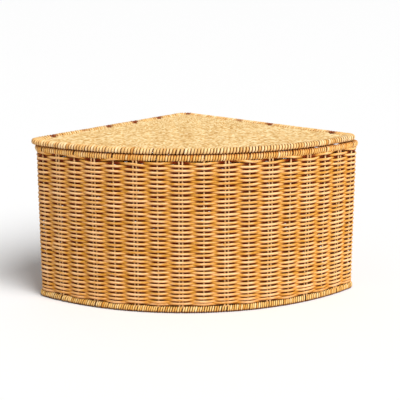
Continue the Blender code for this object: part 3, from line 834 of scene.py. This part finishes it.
# A single wire goes up the front, along the floor and up behind. A doubled one does so twice, bent
# like a hairpin below the rim.
def addFrameWires():
    low, high = floorHeight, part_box("frame_wire_single_5")[1].z
    for stake in range(plan["frontSpaces"] + 1):
        front, behind = stakePoints[stake], stakePoints[lastStake - stake]
        outward, outwardBehind = stakeOutward[stake], stakeOutward[lastStake - stake]
        if not doubled[stake]:
            number = stake // 2 + 1
            path = roundedPath([at(front, high), at(front, low), at(behind, low), at(behind, high)])
            addWire(f"frameSingle{number}", path, outward, "basket", f"frame_wire_single_{number}")
            continue
        number = (stake + 1) // 2
        step = np.cross([0, 0, 1], outward) * plan["pairGap"] / 2
        stepBehind = np.cross([0, 0, 1], outwardBehind) * plan["pairGap"] / 2
        bendTop = high - wires["stakeRadius"]
        path = roundedPath([
            at(behind - stepBehind, high), at(behind - stepBehind, low),
            at(front + step, low), at(front + step, bendTop),
            at(front - step, bendTop), at(front - step, low),
            at(behind + stepBehind, low), at(behind + stepBehind, high),
        ])
        addWire(f"framePair{number}", path, outward, "basket", f"frame_wire_pair_{number}")


addFrameWires()


# A lid wire keeps the length of the solid that it stands for
def addLidWires():
    for number in range(1, wires["lidWires"] + 1):
        node = f"lid_stake_{number:02d}"
        low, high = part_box(node)
        x, z = (low.x + high.x) / 2, (low.z + high.z) / 2
        path = np.array([[x, low.y, z], [x, high.y, z]])
        addWire(f"lidStake{number}", path, np.array([1.0, 0, 0]), "lid", node)


addLidWires()


# The rings that the wraps hide, seen only between two passes of strand and painted dark there as shade
def addRing(rim):
    line, place = rim["line"], rim["place"]
    distance = np.arange(wires["ringSteps"]) * line["length"] / wires["ringSteps"]
    ring, outward = placesOn(line, distance[None], ringHeight(place))
    tube = sweep(ring, outward, 2 * rim["ring"], 2 * rim["ring"], wires["sides"], True)
    addPiece(place + "Ring", tube, wires["tone"], wires["ringShade"], wireCoat, rim["body"],
             [place + "_ring"])


for rimName in rims:
    addRing(rims[rimName])
print("wires bent")


studio = {
    "floor": "#F4F4F4",
    "floorRoughness": 0.9,
    "floorReach": 40.0,
    "world": 0.33,
    "sun": 3.5,
    "sunSpread": 40,  # degrees across, as soft as a large softbox
    "sunFrom": (39, 46),  # degrees to the right of the round front, degrees up
}
view = {
    "azimuth": -4.631,
    "elevation": 13.692,
    "roll": 0.0254,
    "distance": 1.599,
    "target": (0.01058, -0.00576, 0.13579),
    "lens": 85.711,  # millimetres, and so is the sensor
    "sensor": 36,
}


# Matt painted board, nearly white
def paintedBoard(name):
    material, _, shader = newMaterial(name)
    shader.inputs["Base Color"].default_value = linearColour(studio["floor"])
    shader.inputs["Roughness"].default_value = studio["floorRoughness"]
    return material


def addStage():
    mesh = bpy.data.meshes.new("studioFloor")
    reach = studio["floorReach"]
    corners = [(-reach, -reach, 0), (reach, -reach, 0), (reach, reach, 0), (-reach, reach, 0)]
    mesh.from_pydata(corners, [], [(0, 1, 2, 3)])
    mesh.materials.append(paintedBoard("paintedBoard"))
    floor = bpy.data.objects.new("studioFloor", mesh)
    bpy.context.scene.collection.objects.link(floor)
    world = bpy.data.worlds.new("softRoom")
    world.use_nodes = True
    world.node_tree.nodes["Background"].inputs["Color"].default_value = (1, 1, 1, 1)
    world.node_tree.nodes["Background"].inputs["Strength"].default_value = studio["world"]
    bpy.context.scene.world = world
    lamp = bpy.data.lights.new("softKey", "SUN")
    lamp.energy = studio["sun"]
    lamp.angle = math.radians(studio["sunSpread"])
    key = bpy.data.objects.new("softKey", lamp)
    side, up = (math.radians(angle) for angle in studio["sunFrom"])
    towards = Vector((math.sin(side) * math.cos(up), -math.cos(side) * math.cos(up), math.sin(up)))
    key.matrix_world = towards.to_track_quat("Z", "Y").to_matrix().to_4x4()
    bpy.context.scene.collection.objects.link(key)


# The camera looks from back * distance, turned about its own axis by the roll
def addCamera():
    azimuth, elevation, roll = (math.radians(view[key]) for key in ("azimuth", "elevation", "roll"))
    back = Vector((math.sin(azimuth) * math.cos(elevation), -math.cos(azimuth) * math.cos(elevation),
                   math.sin(elevation)))
    right = Vector((math.cos(azimuth), math.sin(azimuth), 0))
    up = back.cross(right)
    turned = right * math.cos(roll) + up * math.sin(roll)
    up = back.cross(turned)
    lens = bpy.data.cameras.new("camera")
    lens.sensor_width = view["sensor"]
    lens.lens = view["lens"]
    camera = bpy.data.objects.new("camera", lens)
    place = Matrix((turned, up, back)).transposed().to_4x4()
    place.translation = Vector(view["target"]) + back * view["distance"]
    camera.matrix_world = place
    bpy.context.scene.collection.objects.link(camera)
    bpy.context.scene.camera = camera


addStage()
addCamera()
bpy.context.scene.view_settings.view_transform = "Standard"

print("scene ready")
